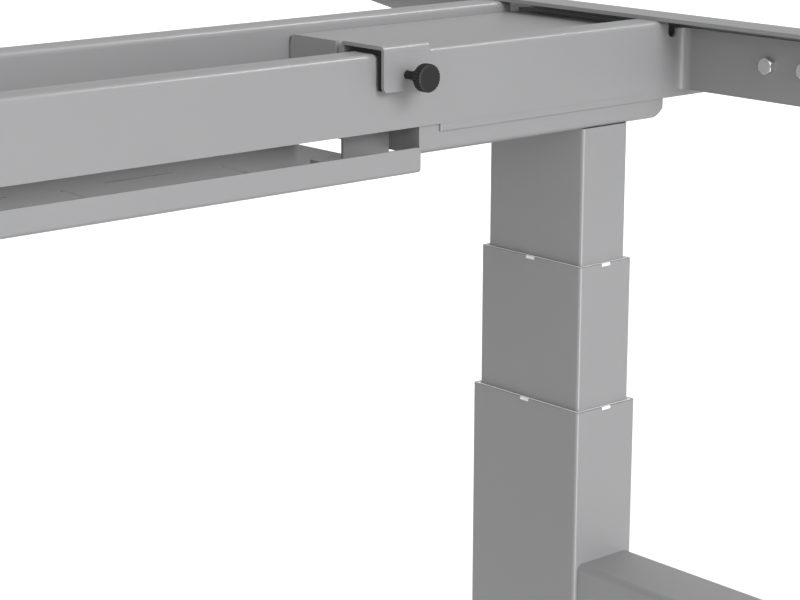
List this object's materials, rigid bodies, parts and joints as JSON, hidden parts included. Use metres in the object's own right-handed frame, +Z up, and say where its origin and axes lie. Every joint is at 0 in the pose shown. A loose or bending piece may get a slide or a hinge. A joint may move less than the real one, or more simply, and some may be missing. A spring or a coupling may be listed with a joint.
{
  "type": "standing desk frame",
  "caption": "Height-adjustable desk frame: three-stage columns on closed side frames, folded twin rails, side arms for the top and a clip-on cable tray.",
  "frame": {"origin": "centre of the bounding box on the floor", "axes": "+X along the rails, +Y to the back, +Z up"},
  "size_m": [1.216, 0.773, 0.785],
  "materials": {
    "powder_coat": "fine satin powder coat, light grey",
    "zinc_steel": "zinc plated",
    "screw_steel": "rolled and greased",
    "motor_black": "satin",
    "glide_plastic": "moulded",
    "black_plastic": "moulded",
    "black_rubber": "matt"
  },
  "bodies": {
    "lower_right": {"foot_right": "powder_coat", "side_rail_right": "powder_coat", "front_post_right": "powder_coat", "end_caps_right": "black_plastic", "lower_tube_right": "powder_coat", "lower_glide_right": "glide_plastic", "nut_stand_right": "screw_steel"},
    "middle_right": {"middle_tube_right": "powder_coat", "middle_glide_right": "glide_plastic", "middle_shoe_right": "glide_plastic", "hollow_screw_right": "screw_steel", "screw_bridge_right": "screw_steel"},
    "thumbscrew_right": {"thumbscrew_right": "black_plastic"},
    "leveller_rear_right": {"leveller_rear_right": "black_plastic"},
    "leveller_front_right": {"leveller_front_right": "black_plastic"},
    "lower_left": {"foot_left": "powder_coat", "side_rail_left": "powder_coat", "front_post_left": "powder_coat", "end_caps_left": "black_plastic", "lower_tube_left": "powder_coat", "lower_glide_left": "glide_plastic", "nut_stand_left": "screw_steel"},
    "middle_left": {"middle_tube_left": "powder_coat", "middle_glide_left": "glide_plastic", "middle_shoe_left": "glide_plastic", "hollow_screw_left": "screw_steel", "screw_bridge_left": "screw_steel"},
    "thumbscrew_left": {"thumbscrew_left": "black_plastic"},
    "leveller_rear_left": {"leveller_rear_left": "black_plastic"},
    "leveller_front_left": {"leveller_front_left": "black_plastic"},
    "top": {"arm_bolts_left": "zinc_steel", "arm_bolts_right": "zinc_steel", "cable_tray": "powder_coat", "drive_motor_left": "motor_black", "drive_motor_right": "motor_black", "drive_spindle_left": "screw_steel", "drive_spindle_right": "screw_steel", "front_rail": "powder_coat", "gear_cover_left": "powder_coat", "gear_cover_right": "powder_coat", "hanger_pad_left": "black_rubber", "hanger_pad_right": "black_rubber", "head_bracket_left": "powder_coat", "head_bracket_right": "powder_coat", "head_plate_left": "powder_coat", "head_plate_right": "powder_coat", "plate_bolts_left": "zinc_steel", "plate_bolts_right": "zinc_steel", "rear_rail": "powder_coat", "side_arm_left": "powder_coat", "side_arm_right": "powder_coat", "tray_hanger_left": "powder_coat", "tray_hanger_right": "powder_coat", "tray_rivets_left": "zinc_steel", "tray_rivets_right": "zinc_steel", "upper_shoe_left": "glide_plastic", "upper_shoe_right": "glide_plastic", "upper_tube_left": "powder_coat", "upper_tube_right": "powder_coat"}
  },
  "joints": [
    {"name": "lift", "type": "slide", "parent": "lower_right", "child": "middle_right", "axis": [0, 0, 1], "range_m": [-0.077, 0.246]},
    {"name": "lift_upper_right", "type": "slide", "parent": "middle_right", "child": "top", "axis": [0, 0, 1], "range_m": [-0.077, 0.246]},
    {"name": "lift_upper_left", "type": "slide", "parent": "top", "child": "middle_left", "axis": [0, 0, -1], "range_m": [-0.077, 0.246]},
    {"name": "lift_lower_left", "type": "slide", "parent": "middle_left", "child": "lower_left", "axis": [0, 0, -1], "range_m": [-0.077, 0.246]},
    {"name": "thumbscrew_right_turn", "type": "hinge", "parent": "top", "child": "thumbscrew_right", "pos_m": [0.345, 0.0404, 0.7677], "axis": [0, 1, 0], "continuous": true},
    {"name": "leveller_rear_right_turn", "type": "hinge", "parent": "lower_right", "child": "leveller_rear_right", "pos_m": [0.52, 0.1565, 0.02], "axis": [0, 0, 1], "continuous": true},
    {"name": "leveller_front_right_turn", "type": "hinge", "parent": "lower_right", "child": "leveller_front_right", "pos_m": [0.52, -0.3535, 0.02], "axis": [0, 0, 1], "continuous": true},
    {"name": "thumbscrew_left_turn", "type": "hinge", "parent": "top", "child": "thumbscrew_left", "pos_m": [-0.345, 0.0404, 0.7677], "axis": [0, 1, 0], "continuous": true},
    {"name": "leveller_rear_left_turn", "type": "hinge", "parent": "lower_left", "child": "leveller_rear_left", "pos_m": [-0.52, 0.1565, 0.02], "axis": [0, 0, 1], "continuous": true},
    {"name": "leveller_front_left_turn", "type": "hinge", "parent": "lower_left", "child": "leveller_front_left", "pos_m": [-0.52, -0.3535, 0.02], "axis": [0, 0, 1], "continuous": true}
  ],
  "couplings": [
    {"joint": "lift_upper_right", "follows": "lift", "ratio": 1},
    {"joint": "lift_upper_left", "follows": "lift", "ratio": 1},
    {"joint": "lift_lower_left", "follows": "lift", "ratio": 1}
  ]
}
